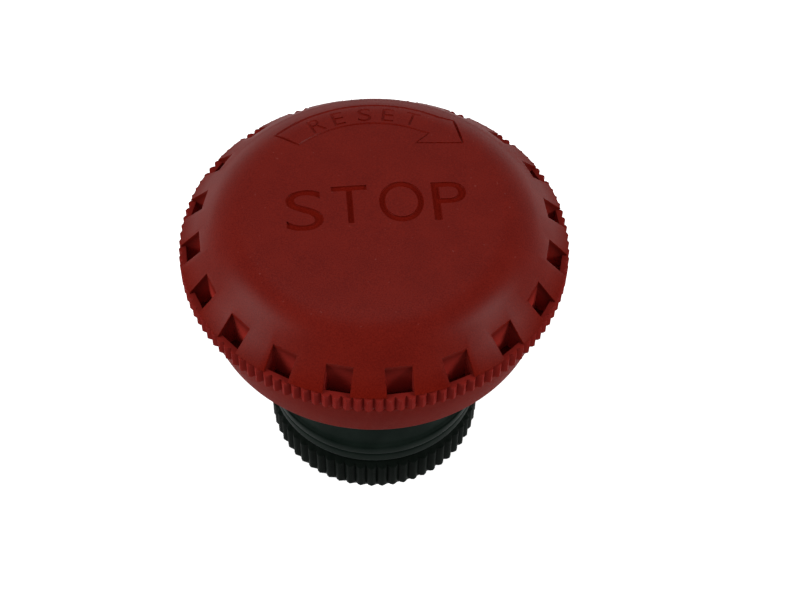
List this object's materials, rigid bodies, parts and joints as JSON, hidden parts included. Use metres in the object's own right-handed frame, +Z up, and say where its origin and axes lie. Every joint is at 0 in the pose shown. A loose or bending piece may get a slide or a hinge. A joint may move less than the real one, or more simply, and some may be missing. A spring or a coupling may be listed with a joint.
{
  "type": "emergency stop switch",
  "caption": "Emergency stop switch: red domed mushroom head with grip pockets and knurled rim on a short dark barrel with panel gasket and ring nut, push to latch, twist to release.",
  "frame": {"origin": "centre of the barrel's end face, on which the switch rests", "axes": "+Z up along the barrel's axis, from the barrel's end to the crown of the cap; -Y is the side of the cap that faces a reader of the word on it; the keyway is on the +Y side"},
  "size_m": [0.04, 0.04, 0.0419],
  "materials": {
    "red_plastic": "fine satin grain",
    "dark_plastic": "semi-gloss dark green-black",
    "black_plastic": "semi-gloss black",
    "cream_plastic": "natural moulded",
    "rubber": "smooth soft rubber",
    "steel": "bright turned and drawn steel",
    "brass": "stamped brass",
    "silver": "plain silver contact tip"
  },
  "bodies": {
    "housing": {"housing": "dark_plastic", "latch_cage": "cream_plastic", "housing_cover": "cream_plastic", "shaft_seal": "rubber", "return_spring": "steel", "latch_spring_a": "steel", "latch_spring_b": "steel", "panel_gasket": "rubber", "contact_base": "black_plastic", "terminal_left": "brass", "terminal_right": "brass", "fixed_tips": "silver"},
    "plunger": {"stem": "steel", "stem_clip": "steel", "contact_carrier": "cream_plastic", "contact_bridge": "brass", "moving_tips": "silver", "contact_spring": "steel"},
    "mushroom": {"mushroom_cap": "red_plastic", "cap_skirt": "red_plastic", "cam_sleeve": "cream_plastic", "reset_spring": "steel"},
    "latch_a": {"latch_pin_a": "steel"},
    "latch_b": {"latch_pin_b": "steel"},
    "washer": {"key_washer": "steel"},
    "nut": {"ring_nut": "black_plastic"}
  },
  "joints": [
    {"name": "press", "type": "slide", "parent": "housing", "child": "plunger", "axis": [0, 0, -1], "range_m": [0, 0.004], "stiffness_N_per_m": 1500, "springref_m": -0.005, "deforming": ["return_spring"]},
    {"name": "twist_reset", "type": "hinge", "parent": "plunger", "child": "mushroom", "pos_m": [0, 0, 0.037], "axis": [0, 0, -1], "range_deg": [0, 45], "stiffness_Nm_per_rad": 0.03, "springref_deg": -9.74, "deforming": ["reset_spring"]},
    {"name": "latch_slide_a", "type": "slide", "parent": "housing", "child": "latch_a", "axis": [1, 0, 0], "range_m": [0, 0.00107], "deforming": ["latch_spring_a"]},
    {"name": "latch_slide_b", "type": "slide", "parent": "housing", "child": "latch_b", "axis": [-1, 0, 0], "range_m": [0, 0.00107], "deforming": ["latch_spring_b"]},
    {"name": "washer_slide", "type": "slide", "parent": "housing", "child": "washer", "axis": [0, 0, -1], "range_m": [0, 0.005]},
    {"name": "nut_spin", "type": "hinge", "parent": "washer", "child": "nut", "pos_m": [0, 0, 0.0086], "axis": [0, 0, -1], "range_deg": [0, 1800]}
  ],
  "couplings": [
    {"joint": "latch_slide_a", "follows": "press", "ratio": 0.26795},
    {"joint": "latch_slide_b", "follows": "press", "ratio": 0.26795},
    {"joint": "nut_spin", "follows": "washer_slide", "rad_per_m": 6283.2}
  ]
}
